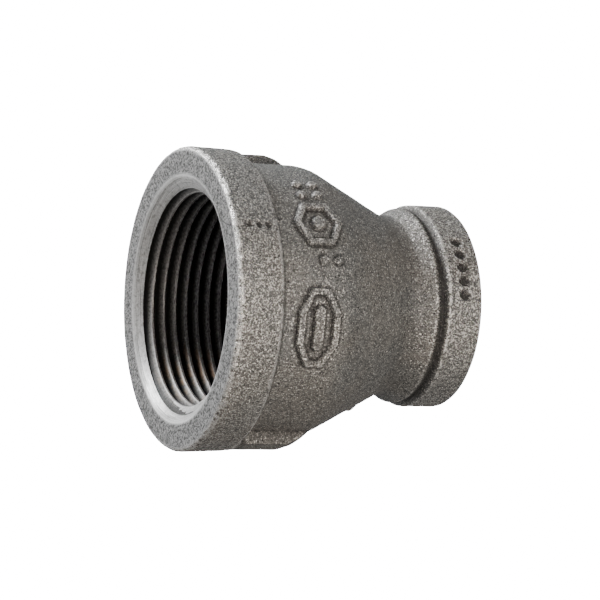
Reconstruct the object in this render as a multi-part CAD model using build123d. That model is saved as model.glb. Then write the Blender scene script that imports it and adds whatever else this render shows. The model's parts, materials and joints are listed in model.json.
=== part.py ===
from build123d import *
from build123d.topology import SkipClean
import os
from math import cos, radians, tan

# Reducing coupling, 1-1/4 x 3/4 inch pipe, black malleable iron, Class 150 pattern.
# One casting with a tapered pipe thread tapped in each end. Millimetres.
# It stands on its small end: +Z is the bore axis, z = 0 is the small face and the
# large mouth is on top. The two cast ribs lie on the X axis.

# Overall
LENGTH = 52.0

# Large end, 1-1/4 inch
LARGE_BAND_RADIUS = 27.4
LARGE_BAND_DRAFT = 0.3
LARGE_BAND_WIDTH = 8.9
LARGE_BODY_RADIUS = 24.9
SHOULDER_DEPTH = 21.9
LARGE_RIM_ROUND = 0.9
LARGE_BAND_ROUND = 1.1
LARGE_BAND_FILLET = 1.2
SHOULDER_ROUND = 9.0

# Cone and neck
NECK_RADIUS = 16.5
NECK_DEPTH = 38.4
NECK_FILLET = 6.0
FLARE_START_DEPTH = 40.6
FLARE_END_DEPTH = 43.1
FLARE_RADIUS = 18.0
FLARE_ROUND = 0.8
STEP_RADIUS = 17.75
STEP_DEPTH = 44.2

# Small end, 3/4 inch
SMALL_BAND_RADIUS = 18.65
SMALL_BAND_WIDTH = 7.0
SMALL_RIM_ROUND = 1.1
SMALL_BAND_ROUND = 0.35

# Ribs along the large body, flush with the large band
RIB_WIDTH = 6.0
RIB_RADIUS = 27.15
RIB_TOP_END_DEPTH = 18.8
RIB_FOOT_DEPTH = 22.6
RIB_END_ROUND = 2.0
RIB_OVERLAP = 1.0

# Waterway
LARGE_BORE_RADIUS = 19.25
LARGE_MOUTH_RADIUS = 22.3
LARGE_MOUTH_DEPTH = 2.2
LARGE_THREAD_LENGTH = 17.4
CHAMBER_RADIUS = 21.3
CHAMBER_START_DEPTH = 18.5
CHAMBER_END_DEPTH = 22.4
THROAT_RADIUS = 13.5
THROAT_START_DEPTH = 36.4
THROAT_END_DEPTH = 38.0
SMALL_THREAD_LENGTH = 13.2
SMALL_BORE_RADIUS = 11.85
SMALL_MOUTH_RADIUS = 14.1
SMALL_MOUTH_DEPTH = 1.6

# Tapered pipe threads: pitch, groove root radius at the face, and the depth at
# which the groove's middle first crosses the +X side.
LARGE_PITCH = 25.4 / 11.5
LARGE_ROOT_RADIUS = 20.99
LARGE_FIRST_GROOVE = 2.22
SMALL_PITCH = 25.4 / 14
SMALL_ROOT_RADIUS = 13.28
SMALL_FIRST_GROOVE = 1.2
TAPER_ANGLE = 1.7899
FLANK_ANGLE = 30.0
ROOT_FLAT_SHARE = 0.04
GROOVE_INSIDE = 0.6
TURNS_PAST_ENDS = 3
QUARTERS = 4

# Edges this close to a stated radius and depth are the ones meant there
EDGE_MATCH = 0.02


def height(depth):
    """Height above the small face of a point this deep below the large face."""
    return LENGTH - depth


def revolved(outline):
    """Solid of revolution about Z from an outline of (radius, depth below the large face)."""
    points = [(radius, height(depth)) for radius, depth in outline]
    face = make_face(Plane.XZ * Polyline(*points, close=True))
    return revolve(face, Axis.Z)


def edges_at(solid, radius, depth):
    """Circular edges of a turned solid at one radius and depth."""
    return [
        edge
        for edge in solid.edges().filter_by(GeomType.CIRCLE)
        if abs(edge.radius - radius) < EDGE_MATCH
        and abs(edge.arc_center.Z - height(depth)) < EDGE_MATCH
    ]


def outside():
    """The casting's outer shape without its ribs."""
    band_end = LARGE_BAND_RADIUS - LARGE_BAND_DRAFT
    small_start = LENGTH - SMALL_BAND_WIDTH
    body = revolved(
        [
            (0, 0),
            (LARGE_BAND_RADIUS, 0),
            (band_end, LARGE_BAND_WIDTH),
            (LARGE_BODY_RADIUS, LARGE_BAND_WIDTH),
            (LARGE_BODY_RADIUS, SHOULDER_DEPTH),
            (NECK_RADIUS, NECK_DEPTH),
            (NECK_RADIUS, FLARE_START_DEPTH),
            (FLARE_RADIUS, FLARE_END_DEPTH),
            (STEP_RADIUS, STEP_DEPTH),
            (SMALL_BAND_RADIUS, small_start),
            (SMALL_BAND_RADIUS, LENGTH),
            (0, LENGTH),
        ]
    )
    rounds = [
        (SHOULDER_ROUND, LARGE_BODY_RADIUS, SHOULDER_DEPTH),
        (NECK_FILLET, NECK_RADIUS, NECK_DEPTH),
        (LARGE_RIM_ROUND, LARGE_BAND_RADIUS, 0),
        (LARGE_BAND_ROUND, band_end, LARGE_BAND_WIDTH),
        (LARGE_BAND_FILLET, LARGE_BODY_RADIUS, LARGE_BAND_WIDTH),
        (FLARE_ROUND, FLARE_RADIUS, FLARE_END_DEPTH),
        (SMALL_BAND_ROUND, SMALL_BAND_RADIUS, small_start),
        (SMALL_RIM_ROUND, SMALL_BAND_RADIUS, LENGTH),
    ]
    for size, radius, depth in rounds:
        body = fillet(edges_at(body, radius, depth), size)
    return body


def ribs():
    """Two straight ribs on the X axis, from inside the large band to the shoulder."""
    inner = LARGE_BODY_RADIUS - RIB_OVERLAP
    start = LARGE_BAND_WIDTH - LARGE_BAND_ROUND - RIB_OVERLAP
    ring = revolved(
        [
            (inner, start),
            (RIB_RADIUS, start),
            (RIB_RADIUS, RIB_TOP_END_DEPTH),
            (inner, RIB_FOOT_DEPTH),
        ]
    )
    ring = fillet(edges_at(ring, RIB_RADIUS, RIB_TOP_END_DEPTH), RIB_END_ROUND)
    return ring & Box(3 * LARGE_BAND_RADIUS, RIB_WIDTH, 3 * LENGTH)


def waterway():
    """The hollow: both mouths, the two tapped bores and the cast chamber between them."""
    small_thread_start = LENGTH - SMALL_THREAD_LENGTH
    return revolved(
        [
            (0, 0),
            (LARGE_MOUTH_RADIUS, 0),
            (LARGE_BORE_RADIUS, LARGE_MOUTH_DEPTH),
            (LARGE_BORE_RADIUS, LARGE_THREAD_LENGTH),
            (CHAMBER_RADIUS, CHAMBER_START_DEPTH),
            (CHAMBER_RADIUS, CHAMBER_END_DEPTH),
            (THROAT_RADIUS, THROAT_START_DEPTH),
            (THROAT_RADIUS, THROAT_END_DEPTH),
            (SMALL_BORE_RADIUS, small_thread_start),
            (SMALL_BORE_RADIUS, LENGTH - SMALL_MOUTH_DEPTH),
            (SMALL_MOUTH_RADIUS, LENGTH),
            (0, LENGTH),
        ]
    )


def quarter(number):
    """One of the four quarters of space round Z, placed so that no rib is split."""
    size = 2 * LENGTH
    corner = Box(size, size, 2 * size, align=(Align.MIN, Align.MIN, Align.CENTER))
    return Rot(0, 0, (number + 0.5) * 360 / QUARTERS) * corner


def groove_turn(pitch, root_radius, bore_radius, lowest):
    """One turn of a tapered right-hand V groove whose mouth face is at z = 0."""
    lowest_radius = root_radius + lowest * tan(radians(TAPER_ANGLE))
    slant_pitch = pitch / cos(radians(TAPER_ANGLE))
    path = Pos(0, 0, lowest) * Helix(slant_pitch, pitch, lowest_radius, cone_angle=TAPER_ANGLE)
    half_root = ROOT_FLAT_SHARE * pitch / 2
    depth = root_radius - bore_radius
    half_mouth = half_root + depth * tan(radians(FLANK_ANGLE))
    side = [(0, half_root), (-depth, half_mouth), (-depth - GROOVE_INSIDE, half_mouth)]
    other_side = [(x, -y) for x, y in reversed(side)]
    start = Plane(origin=path @ 0, x_dir=(1, 0, 0), z_dir=path % 0)
    section = start * make_face(Polyline(*side, *other_side, close=True))
    return sweep(section, path=path, is_frenet=True)


def thread_groove(pitch, root_radius, bore_radius, first_groove, length):
    """The groove's turns, from one pitch above the mouth face down past the given length."""
    turns = int(length / pitch) + TURNS_PAST_ENDS
    return [
        groove_turn(pitch, root_radius, bore_radius, -first_groove - (number - 1) * pitch)
        for number in range(turns)
    ]


def large_groove():
    """The large thread's groove, turn by turn, cut down from the large mouth."""
    turns = thread_groove(
        LARGE_PITCH, LARGE_ROOT_RADIUS, LARGE_BORE_RADIUS, LARGE_FIRST_GROOVE, LARGE_THREAD_LENGTH
    )
    return [Pos(0, 0, LENGTH) * turn for turn in turns]


def small_groove():
    """The small thread's groove, turn by turn, turned over to run up from the small mouth."""
    turns = thread_groove(
        SMALL_PITCH, SMALL_ROOT_RADIUS, SMALL_BORE_RADIUS, SMALL_FIRST_GROOVE, SMALL_THREAD_LENGTH
    )
    return [Rot(180, 0, 0) * turn for turn in turns]


def plain_bores():
    """The two straight bores as they are before tapping, each open at its own end."""
    down = (Align.CENTER, Align.CENTER, Align.MAX)
    up = (Align.CENTER, Align.CENTER, Align.MIN)
    large = Pos(0, 0, LENGTH) * Cylinder(LARGE_BORE_RADIUS, CHAMBER_START_DEPTH, align=down)
    small = Cylinder(SMALL_BORE_RADIUS, LENGTH - THROAT_END_DEPTH, align=up)
    return large, small


def coupling_body():
    """The whole casting, hollowed and threaded, its faces split into quarters."""
    body = outside() + ribs()
    for cutter in [*plain_bores(), *large_groove(), *small_groove(), waterway()]:
        body = body - cutter
    with SkipClean():
        first, *others = [body & quarter(number) for number in range(QUARTERS)]
        return first.fuse(*others)


os.makedirs("parts", exist_ok=True)
body = coupling_body()
print("solids", len(body.solids()), "volume", body.volume, "valid", body.is_valid)
export_step(body, "parts/coupling_body.step")
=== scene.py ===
import json
import math

import bmesh
import bpy
import numpy as np
from mathutils import Matrix, Vector, noise


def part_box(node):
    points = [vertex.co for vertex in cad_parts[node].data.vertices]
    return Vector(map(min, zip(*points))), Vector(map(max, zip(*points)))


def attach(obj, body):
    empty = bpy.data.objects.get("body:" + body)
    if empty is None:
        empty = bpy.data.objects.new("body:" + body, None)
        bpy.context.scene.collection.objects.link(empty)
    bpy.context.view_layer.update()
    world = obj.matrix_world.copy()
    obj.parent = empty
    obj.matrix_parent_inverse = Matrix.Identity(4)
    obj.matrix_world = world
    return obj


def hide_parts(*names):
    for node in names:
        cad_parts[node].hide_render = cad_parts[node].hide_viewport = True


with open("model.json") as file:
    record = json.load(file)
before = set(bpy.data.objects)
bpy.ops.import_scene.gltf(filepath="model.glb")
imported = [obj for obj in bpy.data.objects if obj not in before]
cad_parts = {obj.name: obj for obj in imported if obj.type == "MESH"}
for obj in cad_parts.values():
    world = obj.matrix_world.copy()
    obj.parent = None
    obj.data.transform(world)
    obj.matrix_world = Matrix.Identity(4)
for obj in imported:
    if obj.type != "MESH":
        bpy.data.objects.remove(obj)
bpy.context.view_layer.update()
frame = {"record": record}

MM = 0.001

# ---------------------------------------------------------------- sizes, mm
# Depth is measured along the bore axis from the large face, angle counter-clockwise
# round +Z from +X, both as the CAD part has them.
NODE = "coupling_body"
BOX_LOW, BOX_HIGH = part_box(NODE)
LENGTH = (BOX_HIGH[2] - BOX_LOW[2]) / MM
BORE_RADIUS = {mount["name"]: mount["dims"].get("r_mm") for mount in frame["record"]["mounts"]}

LARGE_BAND = dict(front=27.4, rear=27.1, width=8.9, rim_round=0.95, rear_round=1.0)
BODY = dict(radius=24.9, shoulder=21.9, shoulder_round=9.0, step_fillet=1.2)
NECK = dict(radius=16.5, start=38.4, end=40.3, fillet=6.0)
FLARE = dict(radius=18.1, end=43.0, round=0.9, foot_fillet=1.4)
GROOVE = dict(radius=17.45, depth=44.25, round=0.3)
SMALL_BAND = dict(radius=18.65, width=7.0, rim_round=1.2, ridge_round=0.35)
MOUTH = dict(radius=22.3, depth=2.2, small_radius=14.1, small_depth=1.6)
CHAMBER = dict(radius=21.3, start=18.5, end=22.4, round=5.0)
THROAT = dict(radius=13.5, start=36.4, end=38.0, round=3.0)
# The crest is wider at the face than the record's bore by CREST_LIFT, and tapers inwards.
# start is the depth of the first row of the mesh, first that of the groove at angle 0.
CREST_LIFT = 0.05
LARGE_THREAD = dict(
    pitch=25.4 / 11.5, root=20.95, crest=BORE_RADIUS["large_thread"] + CREST_LIFT,
    crest_taper=0.024, first=2.22, length=17.4, run_out=0.8, start=0.45, rows=92,
)
SMALL_THREAD = dict(
    pitch=25.4 / 14, root=13.26, crest=BORE_RADIUS["small_thread"] + CREST_LIFT,
    crest_taper=0.02, first=1.2, length=13.2, run_out=0.5, start=0.35, rows=66,
)
TAPER = 1 / 32
FLANK_SLOPE = math.sqrt(3)

RIB = dict(
    radius=27.15, half_top=2.75, half_foot=3.3, end=18.8, foot=22.6,
    under_band=2.0, past_foot=0.5, end_blend=1.0, end_share=0.72, foot_soft=0.12, side_soft=0.2,
)
RIB_ANGLES = (0.0, 180.0)

# ---------------------------------------------------------------- the mesh's rows and columns
# Distance between points along the profiles. An arc has at least ARC_STEPS steps, each
# no longer than a share of its radius plus a little.
SPACING = dict(fine=0.25, shoulder=0.33, mouth=0.4, mid=0.42, wide=0.6, face=0.9, wall=1.1)
ARC_STEPS = 3
ARC_SHARE = 0.4
ARC_EXTRA = 0.05
# Gap between a tapped bore's last row and the chamber's first
WALL_GAP = 0.3
# Angles of the columns, as (start, end, step), and those beside each rib
COLUMN_SPANS = [(178.0, 228.0, 1.3), (228.0, 316.0, 0.68), (316.0, 334.0, 1.3), (334.0, 537.4, 2.1)]
RIB_COLUMNS = [5.3, 5.85, 6.6, 7.35, 7.9]

# Kinds of rows in the casting's grid
OUTSIDE, CHAMBER_WALL, LARGE, SMALL = range(4)
# Tags of the grid's points on thread edges: three to a groove, then the bore's corners
NEAR_EDGE, ROOT_LINE, FAR_EDGE = range(3)
TAGS_PER_GROOVE = 10
CORNER_TAGS = 900
START_TAG, END_TAG, NO_TAG = -1, -2, -5
END_CLEARANCE = 0.03
KNOT_GAP = 0.02
TOUCH = 1e-6

# Which faces are painted as chamfers and as faced ends
CHAMFER = dict(slope=0.81, slope_margin=0.2, line_margin=0.09, edge_margin=0.1)
FACED = dict(slope=0.97, depth=0.1)
SHARP_ANGLE = 38

# ---------------------------------------------------------------- relief and unevenness, mm
# Plain foundry marks. An outline is (corners, half width round the casting, half length
# along it, turn in degrees), and a boss is (across, along, half length across).
RAISED_MARKS = [
    dict(angle=288.6, depth=17.4, outline=(6, 4.3, 4.0, 30), half=0.46, height=0.85,
         bosses=[(0.0, 0.0, 0.0)], boss_half=1.15),
    dict(angle=307.5, depth=17.6, height=0.75,
         bosses=[(across, along, 0.0) for along in (-1.5, 1.5) for across in (-1.5, 1.5)],
         boss_half=0.68),
    dict(angle=272.6, depth=18.8, height=0.75,
         bosses=[(0.0, -1.4, 0.0), (0.0, 1.4, 0.0)], boss_half=0.68),
    dict(angle=245.0, depth=16.3, outline=(8, 6.9, 3.6, 22.5), half=0.5, height=0.85,
         bosses=[(0.0, 0.0, 2.9)], boss_half=0.9),
]
# Rows of sunk dots, as (angle, depth, radius, how deep): round the small band, then
# along the large one
SUNK_MARKS = [(angle, 48.2, 0.8, 0.5) for angle in (294.0, 286.0, 278.0, 270.0, 262.0)]
SUNK_MARKS += [(284.2, depth, 0.45, 0.4) for depth in (3.1, 4.9, 6.7)]
# Width of the slope at a mark's edge
MARK_EDGE = 0.24
# Parting line along the cone, in line with the ribs, and a nub of flash on it
SEAM = dict(
    shift=1.5, start=23.0, end=38.0, fade=2.0, half=0.5, height=0.1,
    nub=(181.5, 32.2), nub_height=0.35, nub_half=0.25, nub_edge=0.4,
)
# Casting unevenness: (height, size of the lumps, seed), fading out towards both faces
UNEVENNESS = [(0.08, 9.0, 1), (0.05, 3.2, 2), (0.03, 1.3, 3)]
UNEVEN_FADE = 1.2
FACE_MARGIN = 0.05
SEED_STEP = (17.3, 5.1, 9.7)
RIM = dict(width=1.4, wobble=0.12, lump=1.5, seed=4)

# ---------------------------------------------------------------- wear with painted highlight, and painted shade
# Curvature (1/mm) from which an edge is worn and painted as a highlight, and a hollow painted as shade,
# the range over which that grows to full, and the length over which curvature is smoothed
BEND = dict(least=0.4, range=0.9, smoothing=0.18)
# Edge wear here is also a painted highlight on rims, ridges and mark edges
WEAR_AND_HIGHLIGHT = dict(
    flare=((42, 44), (1, 0.45)), small_rim=2.0, small_rim_gain=1.6,
    proud=0.04, proud_range=0.25, proud_share=0.7, proud_reach=2,
    face=0.02, band_margin=0.3, band_rub=0.44,
    mouth_offset=0.05, mouth_width=0.22, mouth_depth=0.5, crest=0.27,
)
# painted shade in hollows, round the marks, beside the ribs and in the thread valleys; groove
# and neck: painted shade by depth, in the groove behind the small band and in the neck
SHADE_PAINT = dict(
    low=0.03, low_range=0.16, low_share=0.8, sunk=0.05, sunk_range=0.12,
    groove=((42.9, 43.6, 44.6, 45.0), (0, 1, 1, 0)), groove_share=0.8,
    neck=((34.0, 39.0, 42.0), (0, 1, 0)), neck_share=0.25,
    rib_reach=1.4, rib_width=0.5, rib_share=0.8, valley=0.12, valley_range=0.55,
)


# ---------------------------------------------------------------- surface finishes
def grey(value, warm=0.0):
    return (value * (1 + warm), value, value * (1 - warm), 1.0)


# Colours are linear. A noise is (lumps per metre, detail, roughness), a range is
# (from low, from high) or (from low, from high, to low, to high), and a bump is
# (strength, height in metres).
SKIN = dict(
    grain=(4300.0, 2.0, 0.55), sparkle=(3300.0, 1.0, 0.5), coarse=(950.0, 3.0, 0.6),
    patch=(75.0, 3.0, 0.5), pits=800.0,
    dark=(0.036, 0.036, 0.036, 1), cool=(0.225, 0.23, 0.228, 1), warm=(0.25, 0.24, 0.225, 1),
    # edge is the near-white of worn edges, which also paints highlights on them; the colour after pit paints
    # shade in hollows and grooves
    bare=(0.66, 0.645, 0.62, 1), edge=(0.82, 0.81, 0.80, 1), pit=grey(0.008), dirt=grey(0.012, 0.04),
    rub_range=(0.3, 0.62, 0.25, 1.0), rub_fleck=0.2, fleck_range=(0.575, 0.69),
    patch_range=(0.4, 0.6), grain_tone=0.7, coarse_tone=0.3, tone_range=(0.36, 0.62),
    worn_range=(0.45, 1.0), worn_share=0.8,
    pit_range=(0.08, 0.2, 1.0, 0.0), pit_patches=(0.48, 0.6), pit_share=0.85, dirt_share=0.85,
    metal=(0.0, 1.0, 0.45, 0.85), rough=(0.0, 1.0, 0.55, 0.36), worn_rough=-0.12,
    grain_height=0.5, sparkle_height=0.4, coarse_height=0.55, pit_height=-0.6,
    bump=(1.0, 0.00034),
)
MACHINED = dict(
    lines_across=5200.0, lines_along=2600.0, wander=(60.0, 2.0, 0.5), wander_size=6.0,
    lines=(1.0, 2.0, 0.6), grain=(3300.0, 1.5, 0.5), fleck=(1300.0, 2.0, 0.5),
    line_range=(0.32, 0.68), grain_range=(0.38, 0.62), fleck_range=(0.54, 0.66, 0.0, 0.6),
    worn=grey(0.75), worn_share=0.5, metal=0.55, rough_range=(0.3, 0.7), rougher=0.08,
    smoother=0.06, bump=(0.7, 0.00018),
)
FACE_FINISH = dict(low=grey(0.012), high=grey(0.335), line_share=0.12, roughness=0.5)
CHAMFER_FINISH = dict(low=grey(0.24), high=grey(0.72), line_share=0.75, roughness=0.36)
THREAD = dict(
    grain=(2400.0, 3.0, 0.6), patch=(260.0, 3.0, 0.6),
    # valley is the black of the painted shade in the thread's valleys
    dark=grey(0.04, 0.03), light=grey(0.14, 0.03), valley=grey(0.006),
    rust=(0.30, 0.20, 0.125, 1), crest=(0.43, 0.427, 0.422, 1),
    rust_place=(-0.0115, 0.0165, 0.0415), rust_reach=(0.003, 0.010, 1.0, 0.0),
    rust_range=(0.42, 0.6), grain_range=(0.35, 0.65), crest_range=(0.3, 0.6, 0.55, 1.0),
    valley_range=(0.2, 0.95, 0.0, 0.93), metal=(0.0, 1.0, 0.3, 0.75),
    rough=(0.3, 0.7, 0.52, 0.36), bump=(0.5, 0.00012),
)

# ---------------------------------------------------------------- camera and light
# Angles in degrees, distance, lens and aim in mm, clipping in metres
CAMERA = dict(
    azimuth=-15.0, elevation=24.8, roll=88.2, distance=535.0, lens=176.2, sensor=36.0,
    near=0.01, far=20.0,
)
AIM = (0.45, -0.12, 28.0)
# Sizes in metres. The sphere's points below dome_foot are left out of the dome.
STAGE = dict(
    radius=6.0, segments=96, rings=48, dome_foot=-0.01, glow=18.0,
    mottle=(9.0, 2.0, 0.5), tones=(grey(0.86), grey(0.9)), roughness=0.95,
)
# Light from all round, from the dimmer -X side to the brighter +X side
WORLD_LIGHT = (0.125, 0.38)
WHITE = (1.0, 1.0, 1.0)
WARM = (1.0, 0.905, 0.80)
# azimuth and elevation in degrees, distance and size in metres, power in watts
LIGHTS = {
    "key": dict(azimuth=106, elevation=35, distance=0.9, size=0.4, power=16, colour=WHITE),
    "front": dict(azimuth=-22, elevation=6, distance=0.9, size=0.3, power=9.5, colour=WARM),
    "right": dict(azimuth=35, elevation=8, distance=1.0, size=0.7, power=0.35, colour=WHITE),
    "back": dict(azimuth=165, elevation=27, distance=0.9, size=0.7, power=2.2, colour=WHITE),
}


# ---------------------------------------------------------------- profile drawing
def rounded(corners):
    """Points along a path of (radius, depth, corner rounding, spacing after the corner)."""
    path = []
    for index, (r, s, size, spacing) in enumerate(corners):
        here = np.array((r, s))
        if size == 0 or index in (0, len(corners) - 1):
            path.append((here, here, here, size, spacing))
            continue
        before = np.array(corners[index - 1][:2]) - here
        after = np.array(corners[index + 1][:2]) - here
        before = before / np.linalg.norm(before)
        after = after / np.linalg.norm(after)
        half = math.acos(np.clip(before @ after, -1, 1)) / 2
        reach = size / math.tan(half)
        path.append((here + before * reach, here, here + after * reach, size, spacing))
    points = []
    for index, (start, corner, end, size, spacing) in enumerate(path):
        points.append(start)
        if size > 0 and np.linalg.norm(end - start) > 1e-9:
            turn = math.pi - 2 * math.atan2(size, np.linalg.norm(end - corner))
            step = min(spacing, ARC_SHARE * size + ARC_EXTRA)
            steps = max(ARC_STEPS, round(abs(turn) * size / step))
            points += arc_points(start, corner, end, steps)
        if index + 1 < len(path):
            gap = path[index + 1][0] - end
            steps = max(1, round(np.linalg.norm(gap) / spacing))
            points += [end + gap * k / steps for k in range(1, steps)]
    return np.array(points)


def arc_points(start, corner, end, steps):
    """Points after start up to end on the circular arc that rounds a corner."""
    middle = (start + end) / 2
    to_corner = corner - middle
    half_chord = np.linalg.norm(end - start) / 2
    height = np.linalg.norm(to_corner)
    centre = corner - to_corner / height * (height + half_chord * half_chord / height)
    first = start - centre
    last = end - centre
    angle = math.atan2(first[0] * last[1] - first[1] * last[0], first @ last)
    points = []
    for k in range(1, steps + 1):
        turn = angle * k / steps
        c, s = math.cos(turn), math.sin(turn)
        points.append(centre + np.array((c * first[0] - s * first[1], s * first[0] + c * first[1])))
    return points


def outer_profile():
    """From the small mouth's edge, up the outside, to the large mouth's edge."""
    fine, mid = SPACING["fine"], SPACING["mid"]
    small_start = LENGTH - SMALL_BAND["width"]
    return rounded([
        (MOUTH["small_radius"], LENGTH, 0, SPACING["face"]),
        (SMALL_BAND["radius"], LENGTH, SMALL_BAND["rim_round"], mid),
        (SMALL_BAND["radius"], small_start, SMALL_BAND["ridge_round"], fine),
        (GROOVE["radius"], GROOVE["depth"], GROOVE["round"], fine),
        (FLARE["radius"], FLARE["end"], FLARE["round"], fine),
        (NECK["radius"], NECK["end"], FLARE["foot_fillet"], mid),
        (NECK["radius"], NECK["start"], NECK["fillet"], SPACING["wide"]),
        (BODY["radius"], BODY["shoulder"], BODY["shoulder_round"], SPACING["shoulder"]),
        (BODY["radius"], LARGE_BAND["width"], BODY["step_fillet"], fine),
        (LARGE_BAND["rear"], LARGE_BAND["width"], LARGE_BAND["rear_round"], mid),
        (LARGE_BAND["front"], 0, LARGE_BAND["rim_round"], mid),
        (MOUTH["radius"], 0, 0, SPACING["mouth"]),
    ])


def inner_profile():
    """From below the large thread, through the chamber, to the small thread's inner end."""
    wall = SPACING["wall"]
    return rounded([
        (CHAMBER["radius"], CHAMBER["start"] + WALL_GAP, 0, wall),
        (CHAMBER["radius"], CHAMBER["end"], CHAMBER["round"], wall),
        (THROAT["radius"], THROAT["start"], THROAT["round"], wall),
        (THROAT["radius"], THROAT["end"] - WALL_GAP, 0, wall),
    ])


# ---------------------------------------------------------------- threads
def bore_outline(mouth_radius, mouth_depth, thread, far_depth, far_radius):
    """The bore before tapping, as (depth, radius) corners: chamfer, tapered bore, far wall."""
    ends = [(d, thread["crest"] - thread["crest_taper"] * d) for d in (mouth_depth, thread["length"])]
    return np.array([(0.0, mouth_radius), *ends, (far_depth, far_radius)])


def edge_depths(centre, root, sign, outline):
    """Depths at which one flank of a groove comes out of the bore's wall."""
    depths = []
    flank = FLANK_SLOPE * sign
    for (s0, r0), (s1, r1) in zip(outline[:-1], outline[1:]):
        slope = (r1 - r0) / (s1 - s0)
        # The flank's radius, root - flank * (s - centre), equals the wall's at this depth.
        s = (root + flank * centre - r0 + slope * s0) / (slope + flank)
        if s0 <= s <= s1 and (s - centre) * sign > 0:
            depths.append(s)
    return depths


def thread_column(angle, thread, outline, start, end):
    """Breakpoints (depth, radius, tag) of one column of a tapped bore, in depth order."""
    pitch = thread["pitch"]
    phase = (thread["first"] - pitch * angle / 360) % pitch
    turns = np.arange(-1, int(end / pitch) + 2)
    centres = phase + turns * pitch
    numbers = turns + round((phase - thread["first"]) / pitch + angle / 360)
    roots = thread["root"] - centres * TAPER

    def groove(depth):
        return np.max(roots[:, None] - FLANK_SLOPE * np.abs(depth[None, :] - centres[:, None]), axis=0)

    def bore(depth):
        return np.interp(depth, outline[:, 0], outline[:, 1])

    knots = [(s, CORNER_TAGS + n) for n, s in enumerate(outline[:, 0])]
    for centre, root, number in zip(centres, roots, numbers):
        tag = number * TAGS_PER_GROOVE
        knots.append((centre, tag + ROOT_LINE))
        for sign, side in ((-1, NEAR_EDGE), (1, FAR_EDGE)):
            knots += [(s, tag + side) for s in edge_depths(centre, root, sign, outline)]
    knots = sorted(knot for knot in knots if start + END_CLEARANCE < knot[0] < end - END_CLEARANCE)
    depth = np.array([s for s, _ in knots])
    tags = np.array([tag for _, tag in knots])
    radius = np.maximum(groove(depth), bore(depth))
    in_groove = np.abs(groove(depth) - radius) < TOUCH
    on_wall = np.abs(bore(depth) - radius) < TOUCH
    is_root = tags % TAGS_PER_GROOVE == ROOT_LINE
    real = np.where(tags >= CORNER_TAGS, on_wall & ~in_groove, in_groove & (is_root | on_wall))

    ends = np.array([start, end])
    first_radius, last_radius = np.maximum(groove(ends), bore(ends))
    kept = [(start, first_radius, START_TAG)]
    for s, r, tag in zip(depth[real], radius[real], tags[real]):
        if s - kept[-1][0] > KNOT_GAP:
            kept.append((s, r, tag))
    kept.append((end, last_radius, END_TAG))
    return kept


def thread_rows(angles, thread, outline, end):
    """Depth, radius and tag of every row and column of a tapped bore."""
    rows = thread["rows"]
    depth = np.zeros((rows + 1, len(angles)))
    radius = np.zeros_like(depth)
    tags = np.full(depth.shape, NO_TAG, int)
    start = thread["start"]
    step = (end - start) / rows
    for column, angle in enumerate(angles):
        kept = thread_column(angle, thread, outline, start, end)
        wanted = [round((s - start) / step) for s, _, _ in kept]
        wanted[0] = 0
        for k in range(1, len(wanted)):
            wanted[k] = max(wanted[k], wanted[k - 1] + 1)
        wanted[-1] = rows
        for k in range(len(wanted) - 2, -1, -1):
            wanted[k] = min(wanted[k], wanted[k + 1] - 1)
        depth[:, column] = np.interp(np.arange(rows + 1), wanted, [s for s, _, _ in kept])
        radius[:, column] = np.interp(np.arange(rows + 1), wanted, [r for _, r, _ in kept])
        for row, (_, _, tag) in zip(wanted, kept):
            tags[row, column] = tag
    return depth, radius, tags


# ---------------------------------------------------------------- angles of the columns
def turned(angle, centre):
    """Degrees from one angle to another, from -180 to 180."""
    return (angle - centre + 180) % 360 - 180


def columns():
    """Angles of the mesh's columns: closest together at the marks, and set at the ribs' sides."""
    angles = np.concatenate([np.arange(*span) for span in COLUMN_SPANS]) % 360
    for rib in RIB_ANGLES:
        for offset in RIB_COLUMNS + [-degrees for degrees in RIB_COLUMNS]:
            angles[np.abs(turned(angles, rib + offset)).argmin()] = (rib + offset) % 360
    return np.sort(np.unique(np.round(angles, 4)))


# ---------------------------------------------------------------- relief on the outside
def smooth(x):
    """Soft step from 0 to 1."""
    x = np.clip(x, 0, 1)
    return x * x * (3 - 2 * x)


def rib_share(angle, depth):
    """How far each point has risen from the body to the top of a rib, 0 to 1."""
    best = np.zeros_like(angle)
    depths = [RIB["end"] - RIB["end_blend"], RIB["end"] + RIB["end_blend"], RIB["foot"]]
    along = np.interp(depth, depths, [1, RIB["end_share"], 0])
    slope_width = RIB["half_foot"] - RIB["half_top"] + RIB["side_soft"]
    for rib in RIB_ANGLES:
        across = np.abs(np.radians(turned(angle, rib))) * RIB["radius"]
        side = smooth((RIB["half_foot"] + RIB["foot_soft"] - across) / slope_width)
        best = np.maximum(best, side * along)
    return best


def bar(x, y, start, end, half, edge=MARK_EDGE):
    """Height 0 to 1 of a round-ended bar between two points."""
    dx, dy = end[0] - start[0], end[1] - start[1]
    t = np.clip(((x - start[0]) * dx + (y - start[1]) * dy) / (dx * dx + dy * dy + 1e-9), 0, 1)
    away = np.hypot(x - start[0] - t * dx, y - start[1] - t * dy)
    return smooth((half + edge - away) / edge)


def bosses(x, y, places, half):
    """Height 0 to 1 of round-ended bosses at (across, along, half length across)."""
    each = [bar(x, y, (px - long, py), (px + long, py), half) for px, py, long in places]
    return np.max(each, axis=0)


def outline_bars(x, y, corners, half):
    """Height 0 to 1 of a closed outline through the given corners."""
    sides = zip(corners, corners[1:] + corners[:1])
    return np.max([bar(x, y, start, end, half) for start, end in sides], axis=0)


def ring_of(count, across, along, turn):
    """Corners of a regular figure, this wide round the casting and this long along it."""
    steps = [math.radians(turn + k * 360 / count) for k in range(count)]
    return [(across * math.cos(a), along * math.sin(a)) for a in steps]


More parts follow.
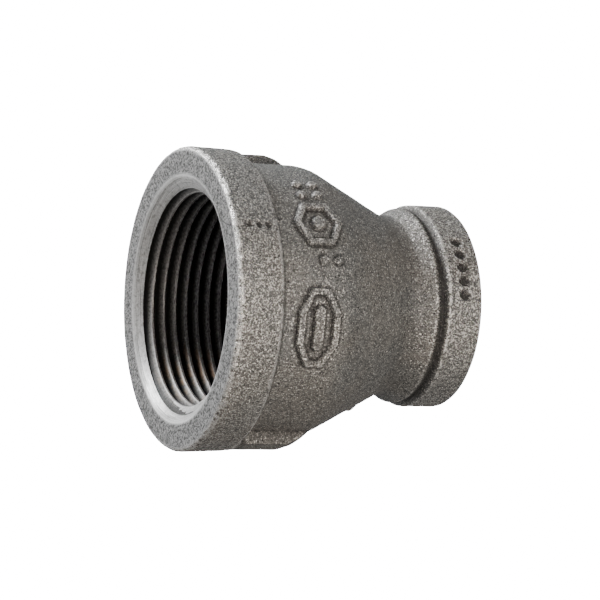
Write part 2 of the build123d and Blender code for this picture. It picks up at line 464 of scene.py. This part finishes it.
def relief(angle, depth, r):
    """Foundry marks, raised on the body and sunk in the bands, and the parting line (mm)."""
    total = np.zeros_like(r)

    def place(centre_angle, centre_depth):
        return -np.radians(turned(angle, centre_angle)) * r, depth - centre_depth

    for mark in RAISED_MARKS:
        x, y = place(mark["angle"], mark["depth"])
        shape = bosses(x, y, mark["bosses"], mark["boss_half"])
        if "outline" in mark:
            shape = np.maximum(shape, outline_bars(x, y, ring_of(*mark["outline"]), mark["half"]))
        total += mark["height"] * shape
    for centre, at, half, sunk in SUNK_MARKS:
        x, y = place(centre, at)
        total -= sunk * bar(x, y, (0, 0), (0, 0), half)
    for rib in RIB_ANGLES:
        away = np.abs(np.radians(turned(angle, rib + SEAM["shift"]))) * r
        along = smooth((depth - SEAM["start"]) / SEAM["fade"]) * smooth((SEAM["end"] - depth) / SEAM["fade"])
        total += SEAM["height"] * along * smooth(1 - away / SEAM["half"])
    x, y = place(*SEAM["nub"])
    half = SEAM["nub_half"]
    total += SEAM["nub_height"] * bar(x, y, (0, -half), (0, half), half, SEAM["nub_edge"])
    return total


def lumps(points, size, seed):
    """Smooth noise from -1 to 1 at each point (mm), with lumps of about the given size."""
    shift = Vector([seed * step for step in SEED_STEP])
    return np.array([noise.noise(Vector(p) / size + shift) for p in points])


# ---------------------------------------------------------------- worn and dirty places
def profile_turn(profile):
    """Curvature of a profile at each of its points, smoothed (1/mm, outward bends positive)."""
    steps = np.diff(profile, axis=0)
    lengths = np.linalg.norm(steps, axis=1)
    heading = np.unwrap(np.arctan2(steps[:, 1], steps[:, 0]))
    turn = np.zeros(len(profile))
    turn[1:-1] = np.diff(heading)
    along = np.concatenate([[0], np.cumsum(lengths)])
    width = BEND["smoothing"]
    weights = np.exp(-0.5 * ((along[:, None] - along[None, :]) / width) ** 2)
    return -(weights * turn[None, :]).sum(axis=1) / (width * math.sqrt(2 * math.pi))


def block_mean(field, reach):
    """Mean over a small block of the grid; the grid closes on itself both ways."""
    for axis in (0, 1):
        field = np.mean([np.roll(field, k, axis) for k in range(-reach, reach + 1)], axis=0)
    return field


def outside_wear_and_highlight(at, bend, proud):
    """Wear of the outside, with painted highlight on its bent edges, by depth, curvature and height above
    what is beside it.
    """
    # convex edges: worn bare and painted as highlight lines, damped on the small band's ridge, stronger
    # round the small rim
    edges = smooth((bend - BEND["least"]) / BEND["range"]) * np.interp(at, *WEAR_AND_HIGHLIGHT["flare"])
    edges = np.where(at > LENGTH - WEAR_AND_HIGHLIGHT["small_rim"], edges * WEAR_AND_HIGHLIGHT["small_rim_gain"], edges)
    tops = WEAR_AND_HIGHLIGHT["proud_share"] * smooth((proud - WEAR_AND_HIGHLIGHT["proud"]) / WEAR_AND_HIGHLIGHT["proud_range"])
    on_face = (at < WEAR_AND_HIGHLIGHT["face"]) | (at > LENGTH - WEAR_AND_HIGHLIGHT["face"])
    on_large = at < LARGE_BAND["width"] - WEAR_AND_HIGHLIGHT["band_margin"]
    on_band = on_large | (at > LENGTH - SMALL_BAND["width"])
    return edges + tops + np.where(on_band & ~on_face, WEAR_AND_HIGHLIGHT["band_rub"], 0)


def outside_painted_shade(angle, at, bend, proud, raised):
    """Painted shade of the outside: hollows, round the marks, groove, neck and beside the ribs."""
    hollows = smooth((-bend - BEND["least"]) / BEND["range"])
    beside = SHADE_PAINT["low_share"] * smooth((-proud - SHADE_PAINT["low"]) / SHADE_PAINT["low_range"])
    sunk = smooth((-raised - SHADE_PAINT["sunk"]) / SHADE_PAINT["sunk_range"])
    groove = SHADE_PAINT["groove_share"] * np.interp(at, *SHADE_PAINT["groove"])
    neck = SHADE_PAINT["neck_share"] * np.interp(at, *SHADE_PAINT["neck"])
    across = [np.abs(np.radians(turned(angle, rib))) * RIB["radius"] for rib in RIB_ANGLES]
    from_side = np.min(np.abs(np.array(across) - RIB["half_foot"]), axis=0)
    ribs = smooth(SHADE_PAINT["rib_reach"] - from_side / SHADE_PAINT["rib_width"])
    ribs = ribs * (at > LARGE_BAND["width"]) * (at < RIB["foot"])
    return hollows + beside + sunk + groove + neck + SHADE_PAINT["rib_share"] * ribs


def masks(angles, depth, radius, plain, zones, outer):
    """Per-point wear with painted highlight (edges, crests, bands) and painted shade (hollows, grooves), 0
    to 1.
    """
    rows = zones == OUTSIDE
    bend = profile_turn(outer)[:, None]
    raised = (radius - plain)[rows]
    proud = raised - block_mean(raised, WEAR_AND_HIGHLIGHT["proud_reach"])
    angle = np.broadcast_to(angles, depth.shape)[rows]
    # worn edge and painted highlight line round the large mouth's chamfer edge
    from_mouth = (radius - MOUTH["radius"] - WEAR_AND_HIGHLIGHT["mouth_offset"]) / WEAR_AND_HIGHLIGHT["mouth_width"]
    wear = np.exp(-(from_mouth ** 2)) * (depth < WEAR_AND_HIGHLIGHT["mouth_depth"])
    wear[rows] += outside_wear_and_highlight(depth[rows], bend, proud)
    grime = np.zeros(depth.shape)
    grime[rows] = outside_painted_shade(angle, depth[rows], bend, proud, raised)
    for zone, thread in ((LARGE, LARGE_THREAD), (SMALL, SMALL_THREAD)):
        rows = zones == zone
        into = depth[rows] if zone == LARGE else LENGTH - depth[rows]
        crest = thread["crest"] - thread["crest_taper"] * into
        rise = (radius[rows] - crest) / (thread["root"] - thread["crest"])
        wear[rows] += smooth(1 - rise / WEAR_AND_HIGHLIGHT["crest"])
        # painted shade, darker towards the thread's valleys
        grime[rows] += smooth((rise - SHADE_PAINT["valley"]) / SHADE_PAINT["valley_range"])
    return np.clip(wear, 0, 1), np.clip(grime, 0, 1)


# ---------------------------------------------------------------- the casting's mesh
def casting_grid():
    """Rows from the small mouth, round the outside, and back through the bore."""
    angles = columns()
    ones = np.ones(len(angles))
    depth_rows, radius_rows, tag_rows, zones = [], [], [], []

    def add(depth, radius, tags, zone):
        depth_rows.append(depth)
        radius_rows.append(radius)
        tag_rows.append(tags)
        zones.extend([zone] * len(depth))

    def add_turned(profile, zone):
        untagged = np.full((len(profile), len(angles)), NO_TAG)
        add(profile[:, 1][:, None] * ones, profile[:, 0][:, None] * ones, untagged, zone)

    outer = outer_profile()
    add_turned(outer, OUTSIDE)
    large_end = CHAMBER["start"]
    outline = bore_outline(MOUTH["radius"], MOUTH["depth"], LARGE_THREAD, large_end, CHAMBER["radius"])
    add(*thread_rows(angles, LARGE_THREAD, outline, large_end), LARGE)
    add_turned(inner_profile(), CHAMBER_WALL)
    # The small thread is drawn from its own mouth, so its angles run the other way.
    small_end = LENGTH - THROAT["end"]
    outline = bore_outline(
        MOUTH["small_radius"], MOUTH["small_depth"], SMALL_THREAD, small_end, THROAT["radius"],
    )
    depth, radius, tags = thread_rows((-angles) % 360, SMALL_THREAD, outline, small_end)
    add(LENGTH - depth[::-1], radius[::-1], tags[::-1], SMALL)
    grid = [np.vstack(rows) for rows in (depth_rows, radius_rows, tag_rows)]
    return angles, *grid, np.array(zones), outer


def surface_detail(angles, depth, plain, zones):
    """Radius with ribs, marks and unevenness, angle, and radius with the marks alone."""
    angle = np.broadcast_to(angles, depth.shape)
    outside = zones[:, None] == OUTSIDE
    near_rib = outside & (depth > LARGE_BAND["width"] - RIB["under_band"])
    near_rib = near_rib & (depth < RIB["foot"] + RIB["past_foot"])
    rise = np.maximum(RIB["radius"] - plain, 0) * rib_share(angle, depth)
    ribbed = plain + np.where(near_rib, rise, 0)
    radius = ribbed + np.where(outside, relief(angle, depth, ribbed), 0)
    marked = radius - ribbed

    x = radius * np.cos(np.radians(angle))
    y = radius * np.sin(np.radians(angle))
    points = np.stack([x, y, depth], axis=-1).reshape(-1, 3)
    off_faces = (depth > FACE_MARGIN) & (depth < LENGTH - FACE_MARGIN)
    cast = (zones[:, None] <= CHAMBER_WALL) & off_faces
    away = np.minimum(smooth(depth / UNEVEN_FADE), smooth((LENGTH - depth) / UNEVEN_FADE))
    uneven = sum(height * lumps(points, size, seed) for height, size, seed in UNEVENNESS)
    rim = outside & (radius > LARGE_BAND["front"] - RIM["width"])
    rim = rim & (depth > FACE_MARGIN) & (depth < RIM["width"])
    wobble = RIM["wobble"] * lumps(points, RIM["lump"], RIM["seed"]).reshape(depth.shape)
    radius = radius + np.where(cast, uneven.reshape(depth.shape) * away, 0) + np.where(rim, wobble, 0)
    return radius, angle, plain + marked


def quads(rows, count, tags):
    """Triangles and quads joining neighbouring rows, split along thread edges."""
    faces = []
    for i in range(rows):
        next_row = (i + 1) % rows
        for j in range(count):
            k = (j + 1) % count
            a, b = i * count + j, i * count + k
            c, d = next_row * count + k, next_row * count + j
            ta, tb, tc, td = tags[i, j], tags[i, k], tags[next_row, k], tags[next_row, j]
            if ta >= 0 and ta == tc and ta != tb:
                faces += [(a, b, c), (a, c, d)]
            elif tb >= 0 and tb == td and tb != ta:
                faces += [(a, b, d), (b, c, d)]
            else:
                faces.append((a, b, c, d))
    return faces


def casting():
    """The whole casting as one closed mesh, with its wear and painted highlight, and its painted shade."""
    angles, depth, plain, tags, zones, outer = casting_grid()
    radius, angle, marked = surface_detail(angles, depth, plain, zones)
    wear, grime = masks(angles, depth, marked, plain, zones, outer)
    x = radius * np.cos(np.radians(angle))
    y = radius * np.sin(np.radians(angle))
    vertices = np.stack([x, y, LENGTH - depth], axis=-1).reshape(-1, 3) * MM
    mesh = bpy.data.meshes.new("casting")
    mesh.from_pydata(vertices.tolist(), [], quads(*depth.shape, tags))
    for name, field in (("wear", wear), ("grime", grime)):
        layer = mesh.attributes.new(name, "FLOAT", "POINT")
        layer.data.foreach_set("value", field.astype(np.float32).ravel())
    mesh.update()
    return mesh


def per_face(mesh, name):
    """One vector for each face of a mesh, such as its centre or normal."""
    values = np.zeros(len(mesh.polygons) * 3)
    mesh.polygons.foreach_get(name, values)
    return values.reshape(-1, 3)


def paint_slots(mesh):
    """Material of each face: 0 cast skin, 1 faced ends, 2 threads, 3 chamfers."""
    centres = per_face(mesh, "center") / MM
    slope = np.abs(per_face(mesh, "normal")[:, 2])
    depth = LENGTH - centres[:, 2]
    radius = np.hypot(centres[:, 0], centres[:, 1])
    large_end = LARGE_THREAD["length"] + LARGE_THREAD["run_out"]
    small_end = LENGTH - SMALL_THREAD["length"] - SMALL_THREAD["run_out"]
    in_large = (depth < large_end) & (radius < MOUTH["radius"])
    in_small = (depth > small_end) & (radius < MOUTH["small_radius"])
    chamfer_line = np.interp(depth, [0, MOUTH["depth"]], [MOUTH["radius"], LARGE_THREAD["crest"]])
    on_chamfer = np.abs(radius - chamfer_line) < CHAMFER["line_margin"]
    on_chamfer = on_chamfer & (np.abs(slope - CHAMFER["slope"]) < CHAMFER["slope_margin"])
    on_chamfer = on_chamfer & (depth < MOUTH["depth"])
    on_chamfer = on_chamfer & (radius < MOUTH["radius"] + CHAMFER["edge_margin"])
    at_ends = (depth < FACED["depth"]) | (depth > LENGTH - FACED["depth"])
    slot = np.zeros(len(centres), int)
    slot[in_large | in_small] = 2
    slot[on_chamfer] = 3
    slot[(slope > FACED["slope"]) & at_ends] = 1
    mesh.polygons.foreach_set("material_index", slot)


# ---------------------------------------------------------------- materials
def new_material(name):
    material = bpy.data.materials.new(name)
    material.use_nodes = True
    tree = material.node_tree
    tree.nodes.clear()
    shader = tree.nodes.new("ShaderNodeBsdfPrincipled")
    output = tree.nodes.new("ShaderNodeOutputMaterial")
    tree.links.new(shader.outputs["BSDF"], output.inputs["Surface"])
    return material, tree, shader


class Nodes:
    """Short calls for the node kinds that these materials use."""

    def __init__(self, tree, place="Object"):
        self.tree = tree
        self.place = self.add("ShaderNodeTexCoord").outputs[place]

    def add(self, kind, **settings):
        node = self.tree.nodes.new(kind)
        for key, value in settings.items():
            setattr(node, key, value)
        return node

    def feed(self, socket, value):
        if hasattr(value, "links"):
            self.tree.links.new(value, socket)
        else:
            socket.default_value = value

    def noise(self, per_metre, detail, rough, vector=None):
        node = self.add("ShaderNodeTexNoise")
        self.feed(node.inputs["Vector"], vector or self.place)
        node.inputs["Scale"].default_value = per_metre
        node.inputs["Detail"].default_value = detail
        node.inputs["Roughness"].default_value = rough
        return node.outputs["Fac"]

    def cells(self, per_metre):
        node = self.add("ShaderNodeTexVoronoi")
        self.feed(node.inputs["Vector"], self.place)
        node.inputs["Scale"].default_value = per_metre
        return node.outputs["Distance"]

    def attribute(self, name):
        return self.add("ShaderNodeAttribute", attribute_name=name).outputs["Fac"]

    def coordinates(self):
        split = self.add("ShaderNodeSeparateXYZ")
        self.feed(split.inputs[0], self.place)
        return split.outputs

    def math(self, operation, a, b=0.0):
        node = self.add("ShaderNodeMath", operation=operation)
        for socket, value in zip(node.inputs, (a, b)):
            self.feed(socket, value)
        return node.outputs[0]

    def weighted(self, *terms):
        """Sum of (value, weight) terms."""
        parts = [self.math("MULTIPLY", value, weight) for value, weight in terms]
        total = parts[0]
        for part in parts[1:]:
            total = self.math("ADD", total, part)
        return total

    def remap(self, value, low, high, to_low=0.0, to_high=1.0):
        node = self.add("ShaderNodeMapRange")
        for socket, v in zip(node.inputs, (value, low, high, to_low, to_high)):
            self.feed(socket, v)
        return node.outputs[0]

    def mix(self, amount, a, b):
        node = self.add("ShaderNodeMix", data_type="RGBA")
        self.feed(node.inputs[0], amount)
        self.feed(node.inputs[6], a)
        self.feed(node.inputs[7], b)
        return node.outputs[2]

    def bump(self, height, strength, distance):
        node = self.add("ShaderNodeBump")
        self.feed(node.inputs["Height"], height)
        node.inputs["Strength"].default_value = strength
        node.inputs["Distance"].default_value = distance
        return node.outputs["Normal"]


def cast_skin():
    """Black iron skin: sandy grain with bare flecks, warm and cool patches, pits, worn edges painted
    near-white as highlights, and painted shade in hollows.
    """
    material, tree, shader = new_material("iron_cast_skin")
    n = Nodes(tree)
    wear, grime = n.attribute("wear"), n.attribute("grime")
    grain = n.noise(*SKIN["grain"])
    sparkle = n.noise(*SKIN["sparkle"])
    coarse = n.noise(*SKIN["coarse"])
    patch = n.noise(*SKIN["patch"])
    rubbed_and_highlit = n.math("MULTIPLY", wear, n.remap(coarse, *SKIN["rub_range"]))
    worn = n.remap(rubbed_and_highlit, *SKIN["worn_range"])
    fleck = n.remap(n.weighted((sparkle, 1.0), (rubbed_and_highlit, SKIN["rub_fleck"])), *SKIN["fleck_range"])
    pits = n.remap(n.cells(SKIN["pits"]), *SKIN["pit_range"])
    pits = n.math("MULTIPLY", pits, n.remap(coarse, *SKIN["pit_patches"]))

    light = n.mix(n.remap(patch, *SKIN["patch_range"]), SKIN["cool"], SKIN["warm"])
    tone = n.weighted((grain, SKIN["grain_tone"]), (coarse, SKIN["coarse_tone"]))
    colour = n.mix(n.remap(tone, *SKIN["tone_range"]), SKIN["dark"], light)
    colour = n.mix(fleck, colour, SKIN["bare"])
    # worn edges, also painted highlight lines
    colour = n.mix(n.math("MULTIPLY", worn, SKIN["worn_share"]), colour, SKIN["edge"])
    colour = n.mix(n.math("MULTIPLY", pits, SKIN["pit_share"]), colour, SKIN["pit"])
    # painted shade in hollows, grooves, the neck and beside the marks and ribs
    colour = n.mix(n.math("MULTIPLY", grime, SKIN["dirt_share"]), colour, SKIN["dirt"])
    rough = n.weighted((n.remap(fleck, *SKIN["rough"]), 1.0), (worn, SKIN["worn_rough"]))
    height = n.weighted(
        (grain, SKIN["grain_height"]), (sparkle, SKIN["sparkle_height"]),
        (coarse, SKIN["coarse_height"]), (pits, SKIN["pit_height"]),
    )
    n.feed(shader.inputs["Base Color"], colour)
    n.feed(shader.inputs["Metallic"], n.remap(fleck, *SKIN["metal"]))
    n.feed(shader.inputs["Roughness"], rough)
    n.feed(shader.inputs["Normal"], n.bump(height, *SKIN["bump"]))
    return material


def turning_lines(n):
    """Fine noise drawn out round the bore, as a lathe leaves it."""
    x, y, z = n.coordinates()
    radius = n.math("SQRT", n.math("ADD", n.math("MULTIPLY", x, x), n.math("MULTIPLY", y, y)))
    place = n.add("ShaderNodeCombineXYZ")
    n.feed(place.inputs[0], n.math("MULTIPLY", radius, MACHINED["lines_across"]))
    n.feed(place.inputs[1], n.math("MULTIPLY", z, MACHINED["lines_along"]))
    n.feed(place.inputs[2], n.math("MULTIPLY", n.noise(*MACHINED["wander"]), MACHINED["wander_size"]))
    return n.noise(*MACHINED["lines"], vector=place.outputs[0])


def machined(name, low, high, line_share, roughness):
    """Faced iron: fine grain with turning lines round the bore and a brighter edge, worn and painted as a
    highlight.
    """
    material, tree, shader = new_material(name)
    n = Nodes(tree)
    wear = n.attribute("wear")
    lines = turning_lines(n)
    grain = n.noise(*MACHINED["grain"])
    fleck = n.noise(*MACHINED["fleck"])
    line_tone = n.remap(lines, *MACHINED["line_range"])
    grain_tone = n.remap(grain, *MACHINED["grain_range"])
    colour = n.mix(n.weighted((line_tone, line_share), (grain_tone, 1 - line_share)), low, high)
    colour = n.mix(n.remap(fleck, *MACHINED["fleck_range"]), colour, low)
    # worn mouth edge, also a painted highlight line
    colour = n.mix(n.math("MULTIPLY", wear, MACHINED["worn_share"]), colour, MACHINED["worn"])
    rough_ends = (roughness + MACHINED["rougher"], roughness - MACHINED["smoother"])
    height = n.weighted((lines, line_share), (grain, 1 - line_share))
    n.feed(shader.inputs["Base Color"], colour)
    shader.inputs["Metallic"].default_value = MACHINED["metal"]
    n.feed(shader.inputs["Roughness"], n.remap(grain, *MACHINED["rough_range"], *rough_ends))
    n.feed(shader.inputs["Normal"], n.bump(height, *MACHINED["bump"]))
    return material


def cut_thread():
    """Tapped thread: black painted shade in the valleys, bare on the crests, with one rusty place."""
    material, tree, shader = new_material("iron_thread")
    n = Nodes(tree)
    wear, grime = n.attribute("wear"), n.attribute("grime")
    grain = n.noise(*THREAD["grain"])
    patch = n.noise(*THREAD["patch"])
    away = n.add("ShaderNodeVectorMath", operation="DISTANCE")
    n.feed(away.inputs[0], n.place)
    away.inputs[1].default_value = THREAD["rust_place"]
    near = n.remap(away.outputs["Value"], *THREAD["rust_reach"])
    rust = n.math("MULTIPLY", near, n.remap(patch, *THREAD["rust_range"]))
    bare = n.math("MULTIPLY", wear, n.remap(grain, *THREAD["crest_range"]))
    colour = n.mix(n.remap(grain, *THREAD["grain_range"]), THREAD["dark"], THREAD["light"])
    colour = n.mix(rust, colour, THREAD["rust"])
    colour = n.mix(bare, colour, THREAD["crest"])
    # painted shade in the valleys
    colour = n.mix(n.remap(grime, *THREAD["valley_range"]), colour, THREAD["valley"])
    n.feed(shader.inputs["Base Color"], colour)
    n.feed(shader.inputs["Metallic"], n.remap(wear, *THREAD["metal"]))
    n.feed(shader.inputs["Roughness"], n.remap(grain, *THREAD["rough"]))
    n.feed(shader.inputs["Normal"], n.bump(grain, *THREAD["bump"]))
    return material


def studio_white(name):
    """Plain white stage, faintly mottled."""
    material, tree, shader = new_material(name)
    n = Nodes(tree)
    n.feed(shader.inputs["Base Color"], n.mix(n.noise(*STAGE["mottle"]), *STAGE["tones"]))
    shader.inputs["Roughness"].default_value = STAGE["roughness"]
    shader.inputs["Specular IOR Level"].default_value = 0.0
    shader.inputs["Emission Color"].default_value = (1, 1, 1, 1)
    shader.inputs["Emission Strength"].default_value = STAGE["glow"]
    return material


# ---------------------------------------------------------------- stage, light, camera
def direction(azimuth, elevation):
    """Unit vector towards a place seen at this azimuth (0 is the -Y side) and elevation."""
    a, e = math.radians(azimuth), math.radians(elevation)
    return Vector((math.sin(a) * math.cos(e), -math.cos(a) * math.cos(e), math.sin(e)))


def make_camera():
    """Camera at its azimuth and elevation, rolled so that the bore lies across the picture."""
    aim = Vector(AIM) * MM
    towards = direction(CAMERA["azimuth"], CAMERA["elevation"])
    data = bpy.data.cameras.new("camera")
    camera = bpy.data.objects.new("camera", data)
    bpy.context.collection.objects.link(camera)
    forward = -towards
    right = forward.cross(Vector((0, 0, 1))).normalized()
    up = right.cross(forward)
    roll = math.radians(CAMERA["roll"])
    top = up * math.cos(roll) + right * math.sin(roll)
    side = forward.cross(top)
    turn = Matrix((side, top, towards)).transposed().to_4x4()
    camera.matrix_world = Matrix.Translation(aim + towards * CAMERA["distance"] * MM) @ turn
    data.lens = CAMERA["lens"]
    data.sensor_width = CAMERA["sensor"]
    data.clip_start = CAMERA["near"]
    data.clip_end = CAMERA["far"]
    bpy.context.scene.camera = camera


def area_light(name, azimuth, elevation, distance, size, power, colour):
    """A square soft light in this direction from the part, aimed at it."""
    data = bpy.data.lights.new(name, "AREA")
    data.size = size
    data.energy = power
    data.color = colour
    light = bpy.data.objects.new(name, data)
    bpy.context.collection.objects.link(light)
    towards = direction(azimuth, elevation)
    light.location = Vector(AIM) * MM + towards * distance
    light.rotation_euler = towards.to_track_quat("Z", "Y").to_euler()


def stage_piece(name, shape):
    """A white stage piece that the part's surfaces don't mirror or take light from."""
    mesh = bpy.data.meshes.new(name)
    shape.to_mesh(mesh)
    shape.free()
    piece = bpy.data.objects.new(name, mesh)
    bpy.context.collection.objects.link(piece)
    mesh.materials.append(studio_white(f"{name}_white"))
    piece.visible_diffuse = False
    piece.visible_glossy = False
    piece.visible_shadow = False


def make_stage():
    """A round white floor that the part stands on, and a white dome over it."""
    radius, segments = STAGE["radius"], STAGE["segments"]
    shape = bmesh.new()
    bmesh.ops.create_circle(shape, cap_ends=True, segments=segments, radius=radius)
    stage_piece("floor", shape)
    shape = bmesh.new()
    bmesh.ops.create_uvsphere(shape, u_segments=segments, v_segments=STAGE["rings"], radius=radius)
    below = [v for v in shape.verts if v.co.z < STAGE["dome_foot"]]
    bmesh.ops.delete(shape, geom=below, context="VERTS")
    stage_piece("backdrop", shape)


def make_world():
    world = bpy.data.worlds.new("studio")
    bpy.context.scene.world = world
    world.use_nodes = True
    background = world.node_tree.nodes["Background"]
    background.inputs["Color"].default_value = (1, 1, 1, 1)
    n = Nodes(world.node_tree, "Generated")
    x = n.coordinates()[0]
    n.feed(background.inputs["Strength"], n.remap(x, -1.0, 1.0, *WORLD_LIGHT))


def make_studio():
    make_camera()
    make_stage()
    make_world()
    for name, light in LIGHTS.items():
        area_light(name, **light)


# ---------------------------------------------------------------- assembly
def make_coupling():
    mesh = casting()
    piece = bpy.data.objects.new("coupling", mesh)
    bpy.context.collection.objects.link(piece)
    face = machined("iron_faced", **FACE_FINISH)
    chamfer = machined("iron_chamfer", **CHAMFER_FINISH)
    for material in (cast_skin(), face, cut_thread(), chamfer):
        mesh.materials.append(material)
    paint_slots(mesh)
    mesh.polygons.foreach_set("use_smooth", [True] * len(mesh.polygons))
    mesh.set_sharp_from_angle(angle=math.radians(SHARP_ANGLE))
    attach(piece, "root")
    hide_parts(NODE)


make_studio()
make_coupling()
